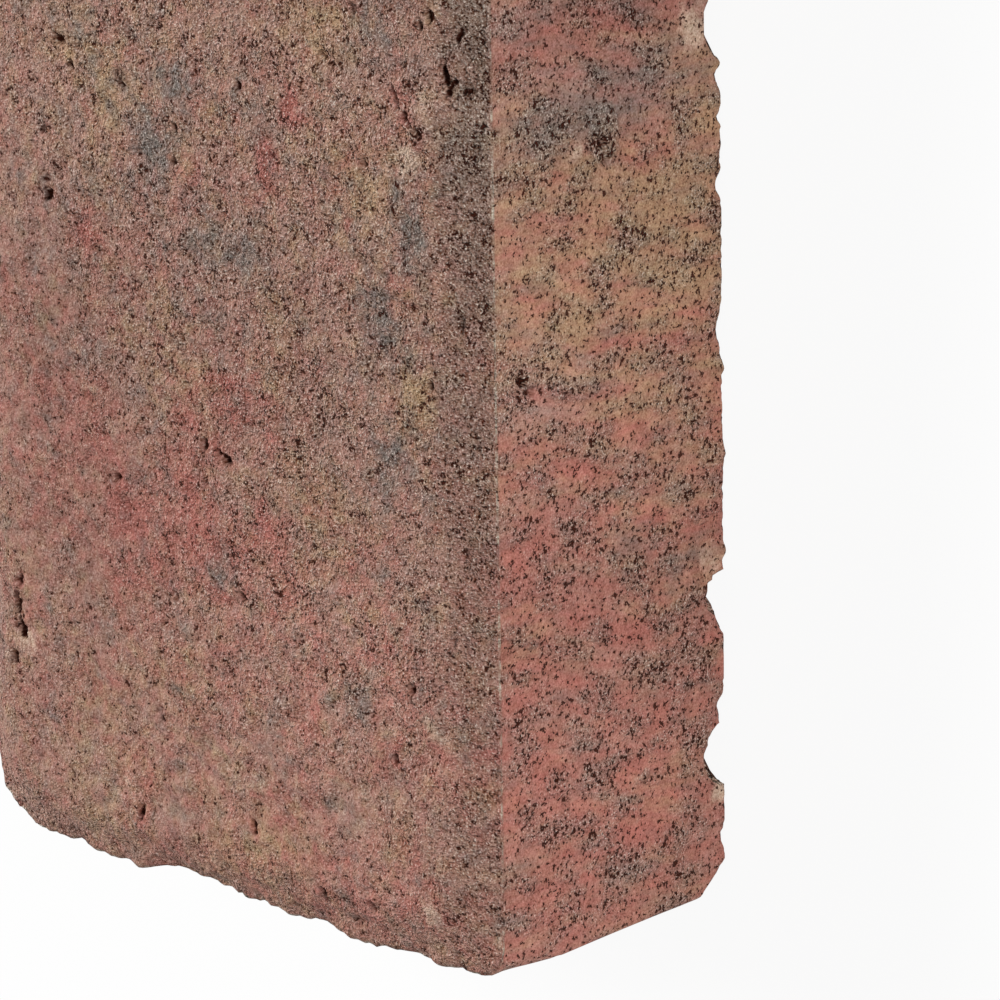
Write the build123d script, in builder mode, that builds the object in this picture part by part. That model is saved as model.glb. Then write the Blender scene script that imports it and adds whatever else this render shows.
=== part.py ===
"""A block paver of pressed concrete, cast in one piece in a steel mould.

It lies on its bed face with the wearing face up. The origin is the middle of the bed face,
X runs along the length, Y across the width and Z up through the thickness. Millimetres.
"""

import os
from math import sqrt

from build123d import *

# The block, a standard size that pavers of this kind are sold in
length = 200.0
width = 100.0
thickness = 50.0

# The bevel round the wearing face: how far it comes in, how far it drops, and how softly it starts
bevel_inset = 7.0
bevel_drop = 4.0
bevel_roll_radius = 10.0

# Upright corners: crisp from the mould at the bed, worn round towards the wearing face
mould_corner_radius = 1.5
corner_wear_depth = 12.0
arris_corner_radius = 5.0
wearing_corner_radius = 8.0

# One corner at the back is rubbed rounder than the rest
rubbed_arris_radius = 10.5
rubbed_wearing_radius = 10.0

# The arris round the bed is rubbed off a little all the way
bed_arris_wear = 0.6

# Chips along the front bed arris: place along the length as a share of it, half length, depth into both faces
bed_chips = {
    "long_scallop": {"place_share": 0.1325, "half_length": 6.2, "depth": 3.9},
    "deep_notch": {"place_share": -0.277, "half_length": 3.0, "depth": 4.1},
    "notch_tail": {"place_share": -0.2875, "half_length": 4.6, "depth": 2.4},
    "notch_lead": {"place_share": -0.367, "half_length": 3.2, "depth": 1.5},
    "square_notch": {"place_share": -0.3965, "half_length": 4.7, "depth": 4.5},
}

# The bed corner at the end of that arris is broken off along a flat fracture
broken_corner_along = 5.5
broken_corner_across = 5.0
broken_corner_height = 6.5

# The outlines that the block passes through on its way up: height, inset, corner radius, rubbed corner radius
outlines = [
    (0, 0, mould_corner_radius, mould_corner_radius),
    (thickness - bevel_drop - corner_wear_depth, 0, mould_corner_radius, mould_corner_radius),
    (thickness - bevel_drop, 0, arris_corner_radius, rubbed_arris_radius),
    (thickness, bevel_inset, wearing_corner_radius, rubbed_wearing_radius),
]


def chip_ball(half_length, depth):
    """The radius of a ball that cuts such a chip, and how far its centre stands off each face of the arris."""
    stand_off = (half_length**2 - depth**2) / (2 * depth)
    return sqrt((depth + stand_off) ** 2 + stand_off**2), stand_off


with BuildPart() as paver:
    # The pressed block: bed, start of the corner wear, arris under the bevel, wearing face
    for height, inset, corner_radius, rubbed_radius in outlines:
        with BuildSketch(Plane.XY.offset(height)) as outline:
            Rectangle(length - 2 * inset, width - 2 * inset)
            rubbed_corner = outline.vertices().group_by(Axis.Y)[-1].sort_by(Axis.X)[0]
            other_corners = outline.vertices().sort_by_distance(rubbed_corner)[1:]
            fillet(other_corners, corner_radius)
            fillet(outline.vertices().sort_by_distance(rubbed_corner)[0], rubbed_radius)
    loft(ruled=True)

    # The bevel rolls into the wearing face
    wearing_face = paver.faces().sort_by(Axis.Z)[-1]
    fillet(wearing_face.edges(), bevel_roll_radius)

    # The bed arris, rubbed off by handling
    bed_face = paver.faces().sort_by(Axis.Z)[0]
    chamfer(bed_face.edges(), bed_arris_wear)

    # Chips bitten out of the front bed arris
    for chip in bed_chips.values():
        radius, stand_off = chip_ball(chip["half_length"], chip["depth"])
        with Locations((chip["place_share"] * length, -width / 2 - stand_off, -stand_off)):
            Sphere(radius, mode=Mode.SUBTRACT)

    # The broken bed corner: the plane through one point on each of its three edges
    corner = Vector(-length / 2, -width / 2, 0)
    along = corner + Vector(broken_corner_along, 0, 0)
    across = corner + Vector(0, broken_corner_across, 0)
    up = corner + Vector(0, 0, broken_corner_height)
    fracture = Plane(origin=along, x_dir=across - along, z_dir=(across - along).cross(up - along))
    split(bisect_by=fracture, keep=Keep.TOP)

paver.part.label = "paving_stone"

os.makedirs("parts", exist_ok=True)
export_step(paver.part, "parts/paving_stone.step")
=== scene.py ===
"""A block paver of pressed concrete: its cast surface and blended colours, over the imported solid."""

from math import cos, radians, sin

import bmesh
import bpy
import numpy as np
from mathutils import Matrix, Vector, noise
from mathutils.bvhtree import BVHTree


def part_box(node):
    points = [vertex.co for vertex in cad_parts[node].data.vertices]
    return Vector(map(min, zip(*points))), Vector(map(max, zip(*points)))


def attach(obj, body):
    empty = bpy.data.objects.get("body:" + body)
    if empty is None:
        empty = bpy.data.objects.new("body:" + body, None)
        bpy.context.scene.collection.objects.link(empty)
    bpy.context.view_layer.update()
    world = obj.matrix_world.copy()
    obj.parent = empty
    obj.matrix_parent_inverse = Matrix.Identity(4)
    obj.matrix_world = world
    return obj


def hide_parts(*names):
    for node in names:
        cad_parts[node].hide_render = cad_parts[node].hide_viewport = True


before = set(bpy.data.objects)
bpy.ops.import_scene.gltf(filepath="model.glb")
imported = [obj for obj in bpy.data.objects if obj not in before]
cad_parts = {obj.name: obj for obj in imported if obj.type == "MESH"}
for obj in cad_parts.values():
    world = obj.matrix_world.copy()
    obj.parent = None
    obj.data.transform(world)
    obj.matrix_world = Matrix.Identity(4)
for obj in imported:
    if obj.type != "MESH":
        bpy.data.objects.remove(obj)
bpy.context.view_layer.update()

# The surface is worked out in millimetres, as the solid was, and Blender keeps metres
MM = 0.001
low, high = (np.array(corner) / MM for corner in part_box("paving_stone"))
half_length, half_width, thickness = high
bevel_drop = 4.0
arris_height = thickness - bevel_drop

# The net of the surface: wide cells on the bed, the back and the ends. They are halved on the wearing face
# and the front, again at the edges that show, again in the chips, and twice at hollows
net_cell = np.array((1.45, 1.45, 2.0))
on_face = 0.1
off_the_box = 0.6
arris_band = 1.0
bed_arris_band = 1.4
rim_band = 3.0
hollow_margin = 0.8
hollow_depth_band = 1.0

# Chips along the front bed arris reach this far into both faces. The net is drawn straight into the arris
# there, except near the ends, where one corner is broken off
chip_reach = 8.0
broken_corner = 8.0
into_arris = Vector((0, 1, 1)).normalized()

# Hollows left where the mix did not fill: place, half length, half width, turn in degrees, depth. The wall of
# each falls between two shares of its half size
wearing_hollows = [
    ((28.1, -44.6), 1.9, 0.45, 3, 1.5),
    ((26.2, -45.2), 1.1, 0.5, -30, 1.0),
    ((25.8, -47.2), 1.3, 0.4, 80, 0.8),
    ((23.4, -36.2), 1.6, 0.4, 15, 0.7),
    ((21.0, -38.0), 1.5, 0.4, 40, 0.8),
    ((19.0, -40.0), 1.5, 0.45, 50, 0.8),
    ((26.7, -23.3), 2.4, 0.4, 66, 0.7),
    ((34.2, -28.7), 0.9, 0.6, 0, 0.8),
    ((36.0, -42.3), 1.0, 0.6, 20, 0.9),
    ((33.5, -46.3), 1.3, 0.4, -20, 0.9),
    ((34.3, -41.0), 0.8, 0.5, 0, 0.7),
    ((19.8, -6.7), 0.8, 0.6, 0, 0.8),
    ((20.7, 28.0), 0.7, 0.8, 0, 0.9),
    ((17.3, 26.0), 1.1, 0.5, 20, 0.8),
    ((17.0, 16.0), 1.0, 0.6, 0, 0.8),
    ((12.0, 6.0), 1.0, 0.4, 0, 0.8),
    ((11.4, -13.0), 0.7, 0.6, 0, 0.7),
    ((13.5, -30.0), 0.9, 0.5, 10, 0.7),
    ((17.4, -48.2), 0.8, 0.5, 0, 0.5),
    ((6.8, -47.6), 0.9, 0.5, 0, 0.5),
    ((7.3, 6.1), 0.9, 0.4, 0, 0.8),
    ((7.0, 32.0), 0.8, 0.4, 0, 0.7),
    ((-4.1, 27.5), 1.0, 0.4, 40, 0.8),
    ((-2.3, 31.4), 1.1, 0.9, 20, 1.2),
    ((-0.2, 31.9), 0.9, 0.6, 0, 0.8),
    ((-6.3, -46.0), 1.0, 0.4, 0, 0.6),
    ((-15.4, -41.8), 0.9, 0.5, 0, 0.8),
    ((-33.8, -2.0), 1.4, 0.45, 60, 1.0),
    ((-33.0, 1.9), 1.0, 0.5, -10, 0.8),
    ((-38.3, 1.8), 0.8, 0.5, 30, 0.7),
    ((-41.0, 19.0), 0.5, 1.1, 0, 0.8),
    ((-51.6, -44.6), 1.0, 0.5, 0, 0.8),
    ((-53.5, -5.0), 1.1, 0.5, 40, 0.8),
    ((-56.0, 8.4), 0.9, 0.5, 0, 0.7),
    ((-59.7, -37.4), 0.8, 0.5, 20, 0.7),
    ((-61.0, 39.8), 1.0, 0.6, 0, 0.9),
    ((-65.0, 40.8), 2.4, 0.9, 4, 1.5),
    ((-67.8, 40.0), 1.4, 0.9, 20, 1.5),
    ((-73.5, 42.2), 1.6, 0.7, 0, 1.0),
    ((-70.4, -34.3), 0.9, 0.5, 0, 0.8),
    ((-75.2, 11.5), 0.9, 0.5, 20, 0.8),
    ((-87.3, -6.0), 1.3, 0.5, 0, 1.0),
    ((-93.4, -28.4), 1.0, 0.6, 0, 1.0),
    ((-94.0, -19.0), 1.3, 0.7, 10, 1.2),
    ((-90.3, 16.5), 1.2, 0.5, -15, 0.9),
    ((52.0, -14.0), 0.9, 0.6, 30, 0.8),
    ((58.0, 33.0), 1.1, 0.5, 0, 0.8),
    ((64.0, 12.0), 1.6, 0.7, 75, 1.0),
    ((72.0, -42.0), 1.2, 0.5, 0, 0.9),
    ((81.0, -27.0), 1.3, 0.7, 15, 0.9),
    ((88.0, 24.0), 0.9, 0.6, 40, 0.8),
]
side_hollows = [
    ((-15, 41), 1.3, 0.7, 20, 0.9),
    ((-17, 39.5), 1.0, 0.7, 0, 0.8),
    ((-16.5, 42.5), 0.9, 0.5, 40, 0.6),
    ((14.4, 24.6), 1.3, 0.6, 40, 0.9),
    ((12.4, 24.0), 0.9, 0.6, 0, 0.8),
    ((15.8, 26.0), 0.7, 0.5, 0, 0.6),
    ((70, 22), 1.5, 0.8, 10, 0.8),
]
hollow_wall = (0.2, 1.4)

# A knob of sand that stands proud on the bevel, and spots where the bevel has kept the brown: place, reach
knob = ((28.4, -46.4), 1.7)
knob_height = 0.6
bare_spots = [((24.5, -43.0), 2.8), ((28.4, -46.4), 2.2), ((9.0, -45.5), 3.0), ((-11.0, -46.5), 3.5)]
bare_share = 0.8

# Wear along the arris of the near end and along the bed arris: place along it, half length, how far out or in
end_arris_wear = [
    (28, 5, 0.5),
    (20, 4, 0.5),
    (13, 4, -1.1),
    (6, 3, -0.8),
    (-10, 3, 0.4),
    (-23, 5, 1.0),
    (-39, 2.5, 0.6),
]
bed_arris_wear = [
    (18.5, 1.4, -0.8),
    (12.8, 0.7, -0.6),
    (3.6, 1.5, -0.9),
    (-17.2, 2.8, -0.8),
    (-22.6, 1.0, 0.4),
    (-35.6, 1.6, 0.5),
    (-49.2, 1.0, 0.4),
    (-55.0, 0.7, -1.2),
    (-71.8, 1.1, -0.7),
    (-76.2, 0.9, -1.0),
    (-92.0, 1.2, -0.6),
    (-99.0, 1.2, -0.5),
]
bed_wear_reach = 2.2

# Bands of the block, in mm: how softly the wearing face starts at the arris, how far in the front counts,
# where the bevel and the ends fade, how far wear reaches at the arris, and how far off the box a fracture
# starts and is whole. Normals below the last value face down
arris_blend = 0.6
front_depth = 5.0
bevel_fade = (0.9, 0.2)
end_fade = (12.0, 3.0)
arris_wear_reach = 1.3
arris_wear_depth = 3.0
fracture_travel = (0.5, 1.0)
facing_down = -0.7

# Uneven patterns: how strong, in mm or as a share, how wide across in mm, octaves of detail, and a number
# that picks the pattern. Each octave is that much finer than the one before, and weaker
patterns = {
    "swell": (0.10, 16.0, 2, 0.0),
    "crumbs": (0.50, 1.7, 1, 11.0),
    "sand_lumps": (0.45, 3.6, 2, 17.0),
    "bevel_lumps": (0.14, 2.2, 2, 23.0),
    "arris_nicks": (0.08, 3.4, 2, 31.0),
    "end_nicks": (0.25, 1.3, 1, 37.0),
    "bed_nicks": (0.5, 2.0, 3, 41.0),
    "fracture": (0.45, 2.2, 3, 53.0),
    "dents": (1.0, 2.1, 2, 61.0),
    "hollow_rims": (0.9, 1.3, 3, 5.0),
    "tan": (1.0, 8.0, 4, 71.0),
    "red": (1.0, 11.0, 4, 81.0),
    "charcoal": (1.0, 7.0, 4, 91.0),
    "cream": (1.0, 5.0, 4, 101.0),
    "streak_sway": (2.0, 25.0, 1, 131.0),
    "open_skin": (0.3, 7.0, 3, 91.0),
    "sandy_patches": (0.6, 3.4, 3, 101.0),
    "tone": (0.06, 9.0, 3, 121.0),
    "grey_border": (5.5, 7.0, 3, 113.0),
}
octave_loss = 1.0
octave_step = 2.0

# Shares of the relief: what the bevel has lost of its crumbs and lumps, how much rougher the arris is at the
# ends, how far nicks at the bed arris are sunk on the whole, and how deep and how common small dents are
crumbs_rubbed = 0.5
lumps_rubbed = 2 / 3
ends_rougher = 4.375
bed_worn = 0.05
dent_depth = 0.25
bevel_dent_depth = 0.05
dent_edge = (0.30, 0.60)

# How much of each colour of the blend shows on the wearing face and on the sides, and how patchy it is there
wearing_share = {"tan": 0.22, "red": 0.20, "charcoal": 0.12, "cream": -0.20}
side_share = {"tan": 0.36, "red": 0.46, "charcoal": 0.06, "cream": -0.30}
wearing_patchy = {"tan": 0.30, "red": 0.28, "charcoal": 0.28, "cream": 0.28}
side_patchy = {"tan": 0.55, "red": 0.22, "charcoal": 0.26, "cream": 0.40}

# The mould drags colours and sand into upright streaks, which lean along the length as they go up
streak_lean = 0.17
side_drag = np.array((1.0, 1.0, 0.45))
sandy_drag = np.array((1.0, 1.0, 0.6))

# Where more or less of a colour shows: place on the face, reach along and across, amount
wearing_zones = {
    "red": [
        ((-55, 15), 34, 40, 0.22),
        ((-46, 19), 12, 14, 0.18),
        ((-47, 2), 8, 10, 0.35),
        ((-32, 32), 12, 12, 0.20),
        ((-60, -36), 10, 8, 0.35),
        ((-90, -30), 12, 30, 0.25),
        ((18.4, -16.5), 3, 2.2, 0.9),
        ((-6.8, 24.2), 3, 2.5, 0.9),
        ((10.6, -11.5), 3, 2.2, 0.8),
        ((-46.1, 16.9), 3, 3, 0.6),
        ((-24, -3), 10, 8, 0.2),
        ((-41.1, -9.8), 4, 3, 0.5),
    ],
    "tan": [
        ((-18, -39), 5, 4, 0.6),
        ((31, -24), 9, 8, 0.30),
        ((-21, 7), 6, 5, 0.4),
        ((9, -31), 9, 8, 0.35),
        ((-80, 20), 10, 12, 0.15),
        ((-90, 25), 6, 8, 0.1),
        ((-88, -8), 8, 14, 0.3),
        ((-36, -19), 6, 6, 0.4),
        ((19, 20), 10, 8, 0.35),
        ((-72, 8), 8, 8, 0.2),
    ],
    "charcoal": [
        ((9, 10.5), 5, 4, 0.48),
        ((18, 5.5), 4, 4, 0.5),
        ((-3.5, -5), 4, 8, 0.5),
        ((-29, -34), 5, 3, 0.5),
        ((5, -38), 6, 3, 0.5),
        ((-7, -31), 5, 4, 0.4),
        ((33, -31), 6, 4, 0.4),
        ((-49.3, 0.3), 2.6, 2.6, 0.4),
        ((-62, -28), 4, 3, 0.4),
        ((15, 22), 25, 25, 0.12),
        ((-20, -36), 12, 6, 0.2),
    ],
    "cream": [
        ((15, -37.5), 3, 3, 0.7),
        ((24, -41.5), 3, 2.6, 0.75),
        ((-25, 9), 3, 2, 0.25),
        ((-69.5, 38), 2.5, 2.5, 0.6),
        ((-64, -42), 3, 2, 0.5),
        ((-88, 22), 5, 5, 0.3),
        ((-91, -40), 3, 3, 0.6),
        ((-93, -49.5), 3, 1, 0.8),
        ((-95, 45), 4, 4, 0.35),
        ((63, -20), 4, 3, 0.6),
        ((84, 14), 3, 3, 0.6),
    ],
}
side_zones = {
    "red": [
        ((-40, 30), 18, 30, 0.2),
        ((-62, 20), 14, 30, 0.2),
        ((-85, 24), 16, 30, 0.3),
        ((32, 24), 9, 30, 0.1),
        ((-4, 24), 13, 30, -0.22),
    ],
    "tan": [
        ((2, 24), 14, 30, 0.7),
        ((-11, 24), 8, 30, 0.2),
        ((-50, 3), 3, 3, 0.8),
        ((-38, 10), 9, 14, 0.3),
        ((-48, 42), 7, 5, 0.3),
        ((-83, 14), 6, 12, 0.45),
        ((-15, 9), 10, 12, 0.75),
        ((6, 12), 6, 14, 0.3),
        ((-30, 4), 8, 5, 0.5),
    ],
    "charcoal": [
        ((30, 24), 14, 30, 0.15),
        ((19, 34), 7, 14, 0.35),
        ((21, 16), 6, 14, 0.35),
        ((-44, 18), 5, 5, 0.3),
        ((-49, 8), 3, 4, 0.4),
    ],
    "cream": [
        ((14.5, 29.4), 1.8, 1.8, 1.7),
        ((-84.5, 2), 2, 2, 1.4),
        ((26.5, 6), 3.5, 3, 1.6),
        ((-50, 3), 3, 3, 0.6),
    ],
}

# How open the skin of the wearing face is, how sandy the sides are and how light the paste is, with zones
open_share = 0.75
most_open = 1.3
open_zones = [
    ((-50, 28), 38, 24, -0.45),
    ((-85, 5), 16, 40, -0.30),
    ((-10, 42), 34, 16, -0.30),
    ((-80, -22), 26, 24, -0.20),
]
sandy_share = 0.38
most_sandy = 1.2
sandy_zones = [
    ((-15.5, 41), 4, 4, 0.6),
    ((14, 24.5), 2.2, 2.4, 0.8),
    ((14.5, 29.6), 2, 1.8, -0.6),
    ((-84, 3), 3, 4, -0.3),
    ((-15, 9), 7, 8, -0.15),
    ((18, 34), 4, 10, 0.3),
    ((26.5, 5), 4, 4, -0.9),
    ((-49.5, 3), 2.5, 3, -0.7),
]
wearing_tones = [
    ((-22, 30), 18, 20, -0.18),
    ((-56, 28), 18, 18, -0.13),
    ((-25, -18), 16, 16, -0.08),
    ((-56, -20), 16, 18, 0.13),
    ((20, 22), 16, 20, 0.03),
    ((32, -48), 5, 4, -0.18),
    ((-90, -30), 8, 12, 0.09),
]
side_tones = [
    ((34, 24), 9, 40, -0.22),
    ((3, 24), 9, 40, -0.06),
    ((17, 24), 9, 40, -0.11),
    ((-51, 24), 11, 40, -0.08),
    ((-77, 24), 13, 40, 0.07),
]

# Towards the far end the bevel is more open and darker. It is greyest along the front, with a ragged border
bevel_change = (-90, -20)
bevel_opening = 0.15
bevel_darkening = 0.05
grey_reach = (11, 2)
grey_change = (-60, 25)
grey_share = 0.70

# A hollow is painted dark, as shade, from this depth on, in mm, and darkest at the next
hollow_shade_depth = (0.3, 0.8)


def smooth(start, end, value):
    """0 before start, 1 after end, and a soft step between them."""
    share = np.clip((value - start) / (end - start), 0, 1)
    return share * share * (3 - 2 * share)


def mound(along, across=0.0):
    """A soft mound, 1 at the middle and almost 0 at twice its reach."""
    return np.exp(-(along**2) - across**2)


def uneven(kind, places):
    """One of the patterns at each place, about as far below 0 as above it."""
    strength, size, octaves, number = patterns[kind]
    scaled = places / size + number
    return strength * np.array([noise.fractal(Vector(p), octave_loss, octave_step, octaves) for p in scaled])


def with_zones(values, zones, face, across, up):
    """The values with each zone's amount added, where the face is, in a soft mound."""
    for (place_across, place_up), reach_across, reach_up, amount in zones:
        spread = mound((across - place_across) / reach_across, (up - place_up) / reach_up)
        values = values + face * amount * spread
    return values


def box_net(lowest, highest, cell):
    """Corner places and four-sided faces of a box cut into cells."""
    counts = np.rint((highest - lowest) / cell).astype(int)
    faces = []
    for axis in range(3):
        along, across = (axis + 1) % 3, (axis + 2) % 3
        first, second = np.meshgrid(np.arange(counts[along]), np.arange(counts[across]), indexing="ij")
        for level in (0, counts[axis]):
            steps = [(0, 0), (1, 0), (1, 1), (0, 1)]
            quads = np.full((first.size, 4, 3), level)
            for corner, (step_along, step_across) in enumerate(steps if level else steps[::-1]):
                quads[:, corner, along] = first.ravel() + step_along
                quads[:, corner, across] = second.ravel() + step_across
            faces.append(quads)
    corners, order = np.unique(np.concatenate(faces).reshape(-1, 3), axis=0, return_inverse=True)
    return lowest + corners * (highest - lowest) / counts, order.reshape(-1, 4)


def drawn_to_solid(place):
    """The nearest point of the solid, or at the chipped arris the one straight in, in metres."""
    near_arris = place.y < (chip_reach - half_width) * MM and place.z < chip_reach * MM
    if near_arris and abs(place.x) < (half_length - broken_corner) * MM:
        outside = place - into_arris * chip_reach * MM
        return solid_tree.ray_cast(outside, into_arris)[0]
    return solid_tree.find_nearest(place)[0]


def onto_solid(places):
    """Each place on the box drawn to the solid, in mm."""
    return np.array([drawn_to_solid(Vector(place)) for place in places * MM]) / MM


def from_sides(places):
    """How far in from the nearest upright side each place is."""
    return np.clip(np.minimum(half_length - abs(places[:, 0]), half_width - abs(places[:, 1])), 0, None)


def on_show(middles):
    """The cells of the wearing face and the front."""
    return (middles[:, 2] > thickness - on_face) | (middles[:, 1] < on_face - half_width)


def at_edges(middles):
    """The cells at the arrises of the front, at the near end's rim and at the corners, and in the chips."""
    x, y, z = middles.T
    travel = np.linalg.norm(onto_solid(middles) - middles, axis=1)
    off_flat = (travel > off_the_box) & (z < arris_height)
    front_arris = (y < on_face - half_width) & (z > arris_height - arris_band)
    front_bed = np.hypot(half_width + y, z) < bed_arris_band
    near_rim = (x < rim_band - half_length) & (z > arris_height - rim_band)
    return off_flat | front_arris | front_bed | near_rim


def in_chips(middles):
    """The cells in the chips and the broken corner."""
    travel = np.linalg.norm(onto_solid(middles) - middles, axis=1)
    return (travel > off_the_box) & (middles[:, 2] < chip_reach) & (middles[:, 1] < chip_reach - half_width)


def at_hollows(middles):
    """The cells in and round the hollows."""
    x, y, z = middles.T
    on_wearing_face = z > arris_height
    on_side = y < hollow_depth_band - half_width
    wanted = np.zeros(len(middles), dtype=bool)
    for face, up, hollows in ((on_wearing_face, y, wearing_hollows), (on_side, z, side_hollows)):
        for (place_across, place_up), half_long, *_ in hollows:
            wanted |= face & (np.hypot(x - place_across, up - place_up) < half_long + hollow_margin)
    return wanted


def halve_cells(net, wanted):
    """Cuts the wanted cells of the net in four."""
    net.faces.ensure_lookup_table()
    middles = np.array([face.calc_center_median() for face in net.faces])
    edges = {edge for number in np.flatnonzero(wanted(middles)) for edge in net.faces[number].edges}
    bmesh.ops.subdivide_edges(net, edges=list(edges), cuts=1, use_grid_fill=True)


# The net is laid round the block's box, cut finer where it has to be, and drawn onto the solid
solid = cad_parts["paving_stone"].data
solid_tree = BVHTree.FromPolygons([v.co for v in solid.vertices], [p.vertices for p in solid.polygons])
places, quads = box_net(low, high, net_cell)
mesh = bpy.data.meshes.new("paving_stone_cast")
mesh.from_pydata(places, [], quads.tolist())
net = bmesh.new()
net.from_mesh(mesh)
for wanted in (on_show, at_edges, in_chips, at_hollows, at_hollows):
    halve_cells(net, wanted)
net.to_mesh(mesh)
net.free()

on_box = np.empty(len(mesh.vertices) * 3, dtype=np.float32)
mesh.vertices.foreach_get("co", on_box)
on_box = on_box.reshape(-1, 3).astype(float)
cast = onto_solid(on_box)
mesh.vertices.foreach_set("co", cast.astype(np.float32).ravel())
mesh.update()
normals = np.empty(len(mesh.vertices) * 3, dtype=np.float32)
mesh.vertex_normals.foreach_get("vector", normals)
normals = normals.reshape(-1, 3).astype(float)

# Where each point lies on the block
x, y, z = cast.T
from_side = from_sides(cast)
on_top = smooth(arris_height - arris_blend, arris_height + arris_blend, z)
on_front = (y < front_depth - half_width) * (1 - on_top)
on_bed = normals[:, 2] < facing_down
bevel = on_top * (1 - smooth(thickness - bevel_fade[0], thickness - bevel_fade[1], z))
near_end = smooth(half_length - end_fade[0], half_length - end_fade[1], -x)
far_end = smooth(half_length - end_fade[0], half_length - end_fade[1], x)
ends = near_end + far_end
at_arris = mound((z - arris_height) / arris_wear_reach) * (from_side < arris_wear_depth)
at_bed_arris = mound(np.hypot(from_side, z) / bed_arris_band)
fracture = smooth(*fracture_travel, np.linalg.norm(cast - on_box, axis=1)) * (z < chip_reach)
ragged_rim = uneven("hollow_rims", cast)


def hollow(across, up, half_long, half_wide, turn):
    """1 in a hollow, falling to 0 at its ragged rim."""
    along = (across * cos(radians(turn)) + up * sin(radians(turn))) / half_long
    over = (up * cos(radians(turn)) - across * sin(radians(turn))) / half_wide
    return 1 - smooth(*hollow_wall, np.hypot(along, over) + ragged_rim)


# Relief that the mould, the sand and the handling left, out along the surface
lift = uneven("swell", cast)
lift += on_top * (1 - crumbs_rubbed * bevel) * uneven("crumbs", cast)
lift += on_top * (1 - lumps_rubbed * bevel) * uneven("sand_lumps", cast)
lift += bevel * uneven("bevel_lumps", cast)
lift += at_arris * (1 + ends_rougher * ends) * uneven("arris_nicks", cast)
lift += at_arris * ends * uneven("end_nicks", cast)
lift -= at_bed_arris * np.clip(uneven("bed_nicks", cast) + bed_worn, 0, None)
lift += fracture * uneven("fracture", cast)
for place_y, half_long, out in end_arris_wear:
    lift += near_end * at_arris * out * mound((y - place_y) / half_long)
for place_x, half_long, out in bed_arris_wear:
    lift += on_front * mound(z / bed_wear_reach) * out * mound((x - place_x) / half_long)
(place_x, place_y), reach = knob
lift += on_top * knob_height * mound((x - place_x) / reach, (y - place_y) / reach)
sunk = (on_top * dent_depth + bevel * bevel_dent_depth) * smooth(*dent_edge, uneven("dents", cast))
for face, up, hollows in ((on_top, y, wearing_hollows), (on_front, z, side_hollows)):
    for (place_across, place_up), half_long, half_wide, turn, depth in hollows:
        dent = face * hollow(x - place_across, up - place_up, half_long, half_wide, turn)
        sunk = np.maximum(sunk, depth * dent)
lift -= sunk
lift[on_bed] = np.minimum(lift[on_bed], 0)

# What shows where: the colours of the blend, the open and the sandy skin, the tone and the grey of the bevel
swayed = x - streak_lean * (z - arris_height) + uneven("streak_sway", cast)
dragged = np.column_stack((swayed, y, z))
colours = {}
for colour in wearing_share:
    cover = side_share[colour] + on_top * (wearing_share[colour] - side_share[colour])
    patchy = side_patchy[colour] + on_top * (wearing_patchy[colour] - side_patchy[colour])
    cover += patchy * uneven(colour, dragged * side_drag)
    cover = with_zones(cover, wearing_zones[colour], on_top, x, y)
    colours[colour] = with_zones(cover, side_zones[colour], on_front, x, z)
changed_bevel = bevel * smooth(*bevel_change, x)
opened = open_share + uneven("open_skin", cast) + bevel_opening * changed_bevel
opened = with_zones(opened, open_zones, 1, x, y)
sandy = sandy_share + uneven("sandy_patches", dragged * sandy_drag) + fracture
sandy = with_zones(sandy, sandy_zones, on_front, x, z)
tone = 1 + uneven("tone", dragged * side_drag) - bevel_darkening * changed_bevel
tone = with_zones(tone, wearing_tones, on_top, x, y)
tone = with_zones(tone, side_tones, on_front, x, z)
from_front = half_width + y + uneven("grey_border", cast)
grey_bevel = on_top * smooth(*grey_reach, from_front) * grey_share * smooth(*grey_change, x)
for (place_x, place_y), reach in bare_spots:
    grey_bevel *= 1 - bare_share * mound((x - place_x) / reach, (y - place_y) / reach)

# What the concrete reads from the surface: the place as cast and as dragged, in mm, and what shows there
surface_places = {"cast_place": cast, "dragged_place": dragged}
surface_marks = {
    # hollow: where a hollow is deep enough for its painted shade
    "hollow": smooth(*hollow_shade_depth, sunk),
    "fracture": fracture,
    "bevel": grey_bevel,
    "open": np.clip(opened, 0, most_open),
    "tone": tone,
    "sandy": np.clip(sandy, 0, most_sandy),
    **colours,
}
for name, vectors in surface_places.items():
    layer = mesh.attributes.new(name, "FLOAT_VECTOR", "POINT")
    layer.data.foreach_set("vector", vectors.astype(np.float32).ravel())
for name, values in surface_marks.items():
    layer = mesh.attributes.new(name, "FLOAT", "POINT")
    layer.data.foreach_set("value", values.astype(np.float32))
mesh.vertices.foreach_set("co", ((cast + normals * lift[:, None]) * MM).astype(np.float32).ravel())
mesh.polygons.foreach_set("use_smooth", np.ones(len(mesh.polygons), dtype=bool))
mesh.update()
paver = bpy.data.objects.new("paving_stone_cast", mesh)
bpy.context.collection.objects.link(paver)

# Kinds of node that come up often
MATH = "ShaderNodeMath"
VECTOR = "ShaderNodeVectorMath"
RANGE = "ShaderNodeMapRange"
MIX = "ShaderNodeMix"
NOISE = "ShaderNodeTexNoise"
MARK = "ShaderNodeAttribute"


def linear(hex_colour):
    """An sRGB hex colour as linear red, green, blue and alpha."""
    parts = [int(hex_colour[n : n + 2], 16) / 255 for n in (1, 3, 5)]
    return [c / 12.92 if c <= 0.04045 else ((c + 0.055) / 1.055) ** 2.4 for c in parts] + [1.0]


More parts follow.
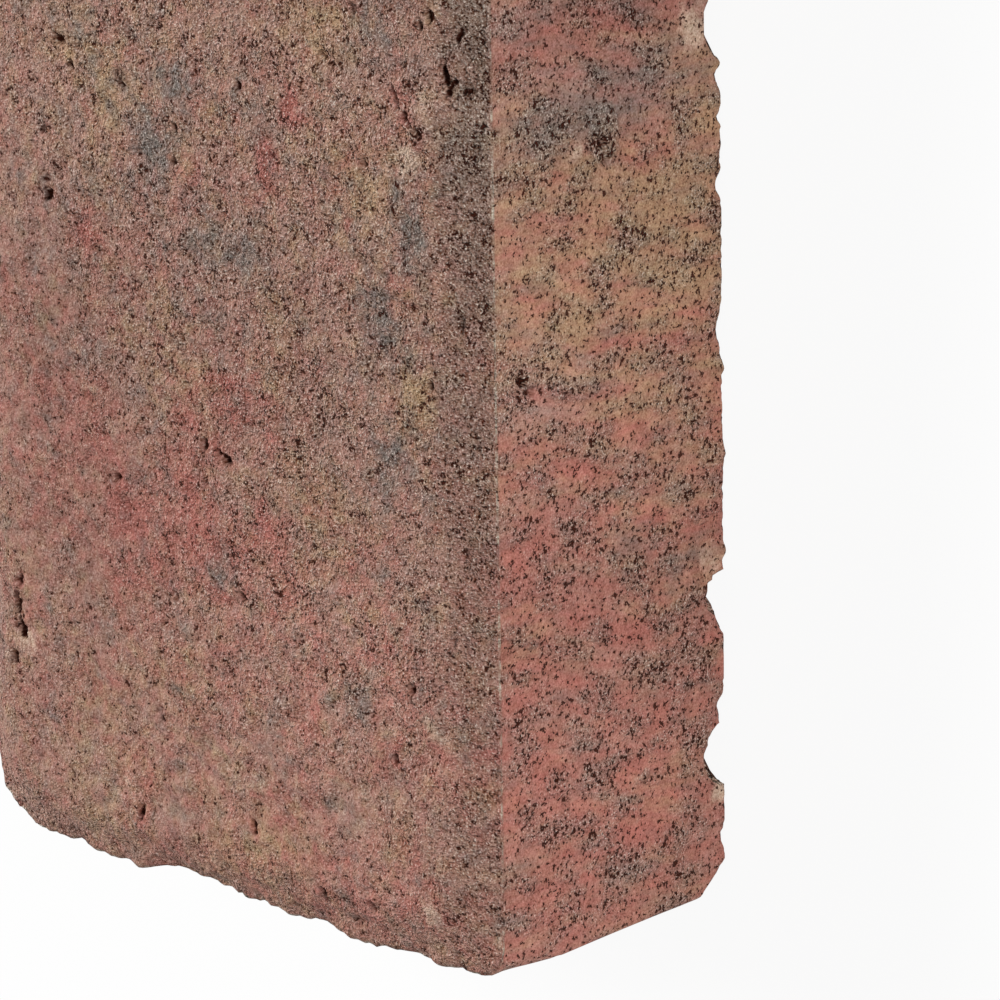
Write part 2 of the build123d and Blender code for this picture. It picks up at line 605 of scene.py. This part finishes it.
def add(tree, kind, takes, **settings):
    """Adds a node with its settings. Each socket takes a value, another socket or a node's first output."""
    made = tree.nodes.new(kind)
    for name, value in settings.items():
        setattr(made, name, value)
    for name, value in takes.items():
        by_name = (socket for socket in made.inputs if socket.enabled and socket.name == name)
        socket = made.inputs[name] if isinstance(name, int) else next(by_name)
        if isinstance(value, bpy.types.Node):
            value = next(output for output in value.outputs if output.enabled)
        if isinstance(value, bpy.types.NodeSocket):
            tree.links.new(value, socket)
        else:
            socket.default_value = value
    return made


# Pressed concrete of sand, cement and iron oxides. Pressing leaves the wearing face sandy and open, and
# drawing the block from its steel mould burnishes the sides into paste with small air pits. The pigments are
# blended badly on purpose, so red, buff and charcoal run through the brown in wisps, and pale stone shows
brown_paste = "#9f7a6d"
blend_colour = {"tan": "#a48668", "red": "#a1645a", "charcoal": "#746a64", "cream": "#bfa792"}
bevel_grey = "#7e6d61"
drawn_paste = "#ac6b57"
sandy_grey = "#8d7c70"
# The pit shadow is painted shade, put into air pits and deep hollows
pit_shadow = "#3b1506"
fresh_break = "#b9a08c"
pale_sand_and_glint = "#e2d2c4"
arris_pale = "#b7a796"
concrete_ior = 1.5
concrete_specular = 0.15

# Sizes of what the eye sees in it, in mm: single grains, clumps and clods of sand and how far clods bend,
# air pits, flecks and wisps of colour, the rubbed line of the arris, and the depth that the bump stands for
grit = 0.26
sand_clump = 2.2
sand_clod = 0.8
clod_bend = 0.8
air_pit = 0.54
colour_fleck = 0.9
colour_wisp = 2.6
wisp_drag = (1.0, 1.0, 0.3)
arris_line = 0.12
bump_depth = 1.2

# The noise swings about its mean. These ranges turn noise, heights in mm and shares into what the paste does
noise_mean = 0.5
clod_gaps = {"From Min": 0.2, "From Max": 0.9, "To Min": 0.11, "To Max": -0.11}
above_arris = {"From Min": arris_height - 0.1, "From Max": arris_height + 0.2}
sandy_edge = {"From Min": 0.55, "From Max": 1.25}
colour_edge = {"From Min": 0.75, "From Max": 1.75}
rubbed_edge = {"From Min": 0.45, "From Max": 0.65}
loose_spots = {"From Min": 0.58, "From Max": 0.42, "To Min": 0.35, "To Max": 1.0}
grain_contrast = {"To Min": 0.9, "To Max": 2.35}
clump_level = {"From Min": 0.3, "From Max": 0.7, "To Min": 0.84, "To Max": 1.16}
glint_edge = {"From Min": 0.67, "From Max": 0.79, "To Max": 0.8}
gaping_clumps = {"From Min": 0.46, "From Max": 0.30, "To Min": 0.0, "To Max": -0.13}
arris_strip = {
    "From Min": arris_height - 2.4,
    "From Max": arris_height - 0.6,
    "To Min": 0.008,
    "To Max": 0.08,
}
pit_edge = {"From Min": 0.475, "From Max": 0.34}
crevice_shade_edge = {"From Min": 0.0, "From Max": 0.6}
dull_range = {"To Min": 0.75, "To Max": 0.95}
soft = {"interpolation_type": "SMOOTHSTEP"}

# How strongly one thing acts on the next. A pit opens where the noise is low, so what closes pits is above 0
sandy_fray = 0.8
colour_fray = 1.5
drawn_share = 0.15
dusty_share = 0.35
fresh_share = 0.5
fleck_swing = 0.1
clod_share = 0.9
closed_on_top = 0.105
closed_when_rough = -0.11
pit_grit = 0.2
hollow_grit = -0.8
bump_grit = 0.25
bump_pit = -0.4

# Painted light and shade: a lit grain is paler than the paste, a shaded gap redder: green and blue swing more
# than red
paler_when_lit = (0.9, 1.15, 1.3)


def pressed_concrete():
    material = bpy.data.materials.new("pressed pigmented concrete")
    material.use_nodes = True
    tree = material.node_tree
    tree.nodes.clear()
    place, streaks = (add(tree, MARK, {}, attribute_name=name).outputs["Vector"] for name in surface_places)
    mark = {name: add(tree, MARK, {}, attribute_name=name).outputs["Fac"] for name in surface_marks}
    height = add(tree, "ShaderNodeSeparateXYZ", {"Vector": place}).outputs["Z"]
    gritty = add(tree, NOISE, {"Vector": place, "Scale": 1 / grit, "Detail": 0.0})
    pitted = add(tree, NOISE, {"Vector": place, "Scale": 1 / air_pit, "Detail": 1.0, "Roughness": 0.6})
    clumps = add(tree, NOISE, {"Vector": place, "Scale": 1 / sand_clump, "Detail": 2.0})
    flecks = add(tree, NOISE, {"Vector": place, "Scale": 1 / colour_fleck, "Detail": 2.0}).outputs["Color"]

    # Sand packs into clods with ragged gaps between them, painted darker as shade by the grains below
    bent = add(tree, VECTOR, {0: flecks, 1: [clod_bend] * 3, 2: place}, operation="MULTIPLY_ADD")
    clods = add(tree, "ShaderNodeTexVoronoi", {"Vector": bent, "Scale": 1 / sand_clod}).outputs["Distance"]
    gaps = add(tree, RANGE, {"Value": clods, **clod_gaps}, clamp=False)
    packed = add(tree, MATH, {0: pitted, 1: gaps}, operation="ADD")

    # Sandy and open from the arris upwards, in patches on the sides
    above = add(tree, RANGE, {"Value": height, **above_arris})
    below = add(tree, MATH, {0: 1.0, 1: above}, operation="SUBTRACT")
    ragged = add(tree, MATH, {0: clumps, 1: sandy_fray, 2: mark["sandy"]}, operation="MULTIPLY_ADD")
    patches = add(tree, RANGE, {"Value": ragged, **sandy_edge}, **soft)
    loose = add(tree, MIX, {"Factor": above, "A": patches, "B": mark["open"]}, data_type="FLOAT")
    sandier = add(tree, MATH, {0: patches, 1: below}, operation="MULTIPLY")

    # Colours of the blend over the brown, in wisps
    dragged_wisps = add(tree, VECTOR, {0: streaks, 1: wisp_drag}, operation="MULTIPLY")
    wispy = {"Vector": dragged_wisps, "Scale": 1 / colour_wisp, "Detail": 2.0, "Roughness": 0.6}
    wisps = add(tree, NOISE, wispy)
    wisp = add(tree, "ShaderNodeSeparateColor", {"Color": wisps.outputs["Color"]}).outputs
    coats = []
    for (name, colour), fray in zip(blend_colour.items(), [*wisp, clumps]):
        frayed = add(tree, MATH, {0: fray, 1: colour_fray, 2: mark[name]}, operation="MULTIPLY_ADD")
        coats.append((add(tree, RANGE, {"Value": frayed, **colour_edge}, **soft), colour))

    # The mould's drag brings the pigment up between the sandy patches of the sides, which are greyer
    drawn = add(tree, MATH, {0: below, 1: sandier}, operation="SUBTRACT")
    coats.append((add(tree, MATH, {0: drawn, 1: drawn_share}, operation="MULTIPLY"), drawn_paste))
    coats.append((add(tree, MATH, {0: sandier, 1: dusty_share}, operation="MULTIPLY"), sandy_grey))

    # The bevel is greyer too, the arris under it is rubbed pale in stretches, and a break shows lighter stone
    greyer = add(tree, MATH, {0: mark["bevel"], 1: above}, operation="MULTIPLY")
    coats.append((greyer, bevel_grey))
    on_arris = add(tree, MATH, {0: height, 1: arris_height, 2: arris_line}, operation="COMPARE")
    stretches = add(tree, RANGE, {"Value": clumps, **rubbed_edge})
    coats.append((add(tree, MATH, {0: on_arris, 1: stretches}, operation="MULTIPLY"), arris_pale))
    coats.append((add(tree, MATH, {0: mark["fracture"], 1: fresh_share}, operation="MULTIPLY"), fresh_break))
    paste = linear(brown_paste)
    for cover, colour in coats:
        paste = add(tree, MIX, {"Factor": cover, "A": paste, "B": linear(colour)}, data_type="RGBA")

    # Sand of several colours: each fleck a little redder, yellower, lighter or darker than the next
    swings = [fleck_swing] * 3
    levels = [1 - fleck_swing * noise_mean] * 3
    tint = add(tree, VECTOR, {0: flecks, 1: swings, 2: levels}, operation="MULTIPLY_ADD")

    # Single grains, each with painted light and shade of its own, more so where the skin is open and on the
    # bevel
    spots = add(tree, RANGE, {"Value": clumps, **loose_spots}, **soft)
    rough = add(tree, MATH, {0: loose, 1: spots}, operation="MULTIPLY")
    looseness = add(tree, RANGE, {"Value": rough, **grain_contrast}, clamp=False)
    contrast = add(tree, MATH, {0: greyer, 1: looseness}, operation="ADD")
    grains = add(tree, MATH, {0: packed, 1: clod_share, 2: gritty}, operation="MULTIPLY_ADD")
    from_mean = add(tree, MATH, {0: grains, 1: noise_mean * (1 + clod_share)}, operation="SUBTRACT")
    swing = add(tree, MATH, {0: from_mean, 1: contrast}, operation="MULTIPLY")
    level = add(tree, RANGE, {"Value": clumps, **clump_level})
    toned = add(tree, MATH, {0: level, 1: mark["tone"]}, operation="MULTIPLY")
    grain_light_and_shade = add(tree, VECTOR, {0: swing, 1: paler_when_lit, 2: toned}, operation="MULTIPLY_ADD")
    for shade in (tint, grain_light_and_shade):
        shaded = {"Factor": 1.0, "A": paste, "B": shade}
        paste = add(tree, MIX, shaded, data_type="RGBA", blend_type="MULTIPLY")
    # Painted glints: the palest grains of the open skin turn near white, pale sand with a painted highlight
    # on it
    glint = add(tree, RANGE, {"Value": gritty, **glint_edge})
    glints = add(tree, MATH, {0: glint, 1: loose}, operation="MULTIPLY")
    paste = add(tree, MIX, {"Factor": glints, "A": paste, "B": linear(pale_sand_and_glint)}, data_type="RGBA")

    # Air pits: gaping between clumps where the skin is open, fewer in the burnished strip under the arris
    closed = add(tree, MATH, {0: above, 1: closed_on_top, 2: packed}, operation="MULTIPLY_ADD")
    gaping = add(tree, RANGE, {"Value": clumps, **gaping_clumps})
    opening = add(tree, MATH, {0: mark["open"], 1: above}, operation="MULTIPLY")
    opened_up = add(tree, MATH, {0: gaping, 1: opening, 2: closed}, operation="MULTIPLY_ADD")
    strip = add(tree, RANGE, {"Value": height, **arris_strip})
    burnished = add(tree, MATH, {0: below, 1: strip, 2: opened_up}, operation="MULTIPLY_ADD")
    rougher = add(tree, MATH, {0: rough, 1: closed_when_rough, 2: burnished}, operation="MULTIPLY_ADD")
    ragged_pit = add(tree, MATH, {0: gritty, 1: pit_grit, 2: rougher}, operation="MULTIPLY_ADD")
    pit = add(tree, RANGE, {"Value": ragged_pit, **pit_edge}, **soft)
    torn = add(tree, MATH, {0: packed, 1: hollow_grit, 2: mark["hollow"]}, operation="MULTIPLY_ADD")
    crevice_shade = add(tree, RANGE, {"Value": torn, **crevice_shade_edge}, **soft)
    # Painted shade: pits and deep hollows are coloured dark with the pit shadow
    painted_pit_shade = add(tree, MATH, {0: pit, 1: crevice_shade}, operation="MAXIMUM")
    colour = add(tree, MIX, {"Factor": painted_pit_shade, "A": paste, "B": linear(pit_shadow)}, data_type="RGBA")

    # Height for the bump, in mm: grains and clods stand proud, pits sink
    proud = add(tree, MATH, {0: gritty, 1: bump_grit, 2: packed}, operation="MULTIPLY_ADD")
    looser = add(tree, MATH, {0: proud, 1: loose}, operation="MULTIPLY")
    sunken = add(tree, MATH, {0: pit, 1: bump_pit, 2: looser}, operation="MULTIPLY_ADD")
    bump = add(tree, "ShaderNodeBump", {"Height": sunken, "Distance": bump_depth * MM, "Strength": 1.0})
    dullness = add(tree, RANGE, {"Value": loose, **dull_range})
    finish = {"Roughness": dullness, "IOR": concrete_ior, "Specular IOR Level": concrete_specular}
    surface = add(tree, "ShaderNodeBsdfPrincipled", {"Base Color": colour, "Normal": bump, **finish})
    add(tree, "ShaderNodeOutputMaterial", {"Surface": surface})
    return material


mesh.materials.append(pressed_concrete())

# The studio: a white sweep of floor that keeps a faint shadow, a white room, and two large soft lamps
floor_size = 12.0
floor_white = "#f4f4f4"
shadow_share = 0.08
room_light = 0.25
pure_white = (1, 1, 1, 1)


def looked_at(tree):
    """1 where the camera looks straight, by reflection or through glass, and 0 for light that only falls."""
    ray = add(tree, "ShaderNodeLightPath", {}).outputs
    mirrored = add(tree, MATH, {0: ray["Is Camera Ray"], 1: ray["Is Glossy Ray"]}, operation="MAXIMUM")
    return add(tree, MATH, {0: mirrored, 1: ray["Is Transmission Ray"]}, operation="MAXIMUM")


def studio_floor():
    material = bpy.data.materials.new("matte white studio floor")
    material.use_nodes = True
    tree = material.node_tree
    tree.nodes.clear()
    glow = add(tree, MATH, {0: looked_at(tree), 1: 1 - shadow_share}, operation="MULTIPLY")
    matte = add(tree, "ShaderNodeBsdfDiffuse", {"Color": linear(floor_white)})
    white = add(tree, "ShaderNodeEmission", {"Color": pure_white, "Strength": 1.0})
    mixed = add(tree, "ShaderNodeMixShader", {0: glow, 1: matte, 2: white})
    add(tree, "ShaderNodeOutputMaterial", {"Surface": mixed})
    return material


reach = floor_size / 2
floor_mesh = bpy.data.meshes.new("studio_floor")
floor_corners = [(-reach, -reach, 0), (reach, -reach, 0), (reach, reach, 0), (-reach, reach, 0)]
floor_mesh.from_pydata(floor_corners, [], [(0, 1, 2, 3)])
floor_mesh.materials.append(studio_floor())
floor = bpy.data.objects.new("studio_floor", floor_mesh)
bpy.context.collection.objects.link(floor)

room = bpy.data.worlds.new("white room")
room.use_nodes = True
tree = room.node_tree
tree.nodes.clear()
room_strength = add(tree, MIX, {"Factor": looked_at(tree), "A": room_light, "B": 1.0}, data_type="FLOAT")
backdrop = add(tree, "ShaderNodeBackground", {"Color": pure_white, "Strength": room_strength})
add(tree, "ShaderNodeOutputWorld", {"Surface": backdrop})
bpy.context.scene.world = room

# Lamps: where each stands from the middle of the block, its width and its power
middle = Vector((0, 0, 0.03))
lamps = {
    "key_softbox": (Vector((0.8, 1.85, 1.65)), 1.0, 69.0),
    "side_softbox": (Vector((0.25, -1.25, 0.34)), 0.6, 10.8),
}
for name, (stand, size, power) in lamps.items():
    light = bpy.data.lights.new(name, "AREA")
    light.size = size
    light.energy = power
    lamp = bpy.data.objects.new(name, light)
    lamp.location = middle + stand
    lamp.rotation_euler = stand.to_track_quat("Z", "Y").to_euler()
    lamp.visible_camera = False
    bpy.context.collection.objects.link(lamp)

# The camera looks down on the block, over its front side, and is turned so that the length stands upright.
# It is placed from one corner of the block, by that corner's pixel in the picture and its distance
photo_width_px = 1000
focal_px = 7642
corner_px = (525.0, 974.5)
corner_height = 42.0
corner = Vector((-half_length, -half_width, corner_height)) * MM
corner_distance = 1046.9 * MM
tilt_to_front = radians(43.31)
tilt_along = radians(18.30)
roll = radians(-0.86)
sensor = 36.0
sees_to = 50.0

back = Vector((sin(tilt_along), -sin(tilt_to_front) * cos(tilt_along), cos(tilt_to_front) * cos(tilt_along)))
upright = (Vector((1, 0, 0)) - back * back.x).normalized()
sideways = upright.cross(back)
right = cos(roll) * sideways + sin(roll) * upright
up = cos(roll) * upright - sin(roll) * sideways
off_right = (corner_px[0] - photo_width_px / 2) / focal_px * corner_distance
off_up = (photo_width_px / 2 - corner_px[1]) / focal_px * corner_distance
eye = corner + back * corner_distance - right * off_right - up * off_up

camera_data = bpy.data.cameras.new("studio_camera")
camera_data.sensor_width = sensor
camera_data.lens = focal_px / photo_width_px * sensor
camera_data.clip_end = sees_to
camera = bpy.data.objects.new("studio_camera", camera_data)
camera.matrix_world = Matrix.Translation(eye) @ Matrix((right, up, back)).transposed().to_4x4()
bpy.context.collection.objects.link(camera)
bpy.context.scene.camera = camera
bpy.context.scene.view_settings.view_transform = "Standard"

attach(paver, "root")
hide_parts("paving_stone")
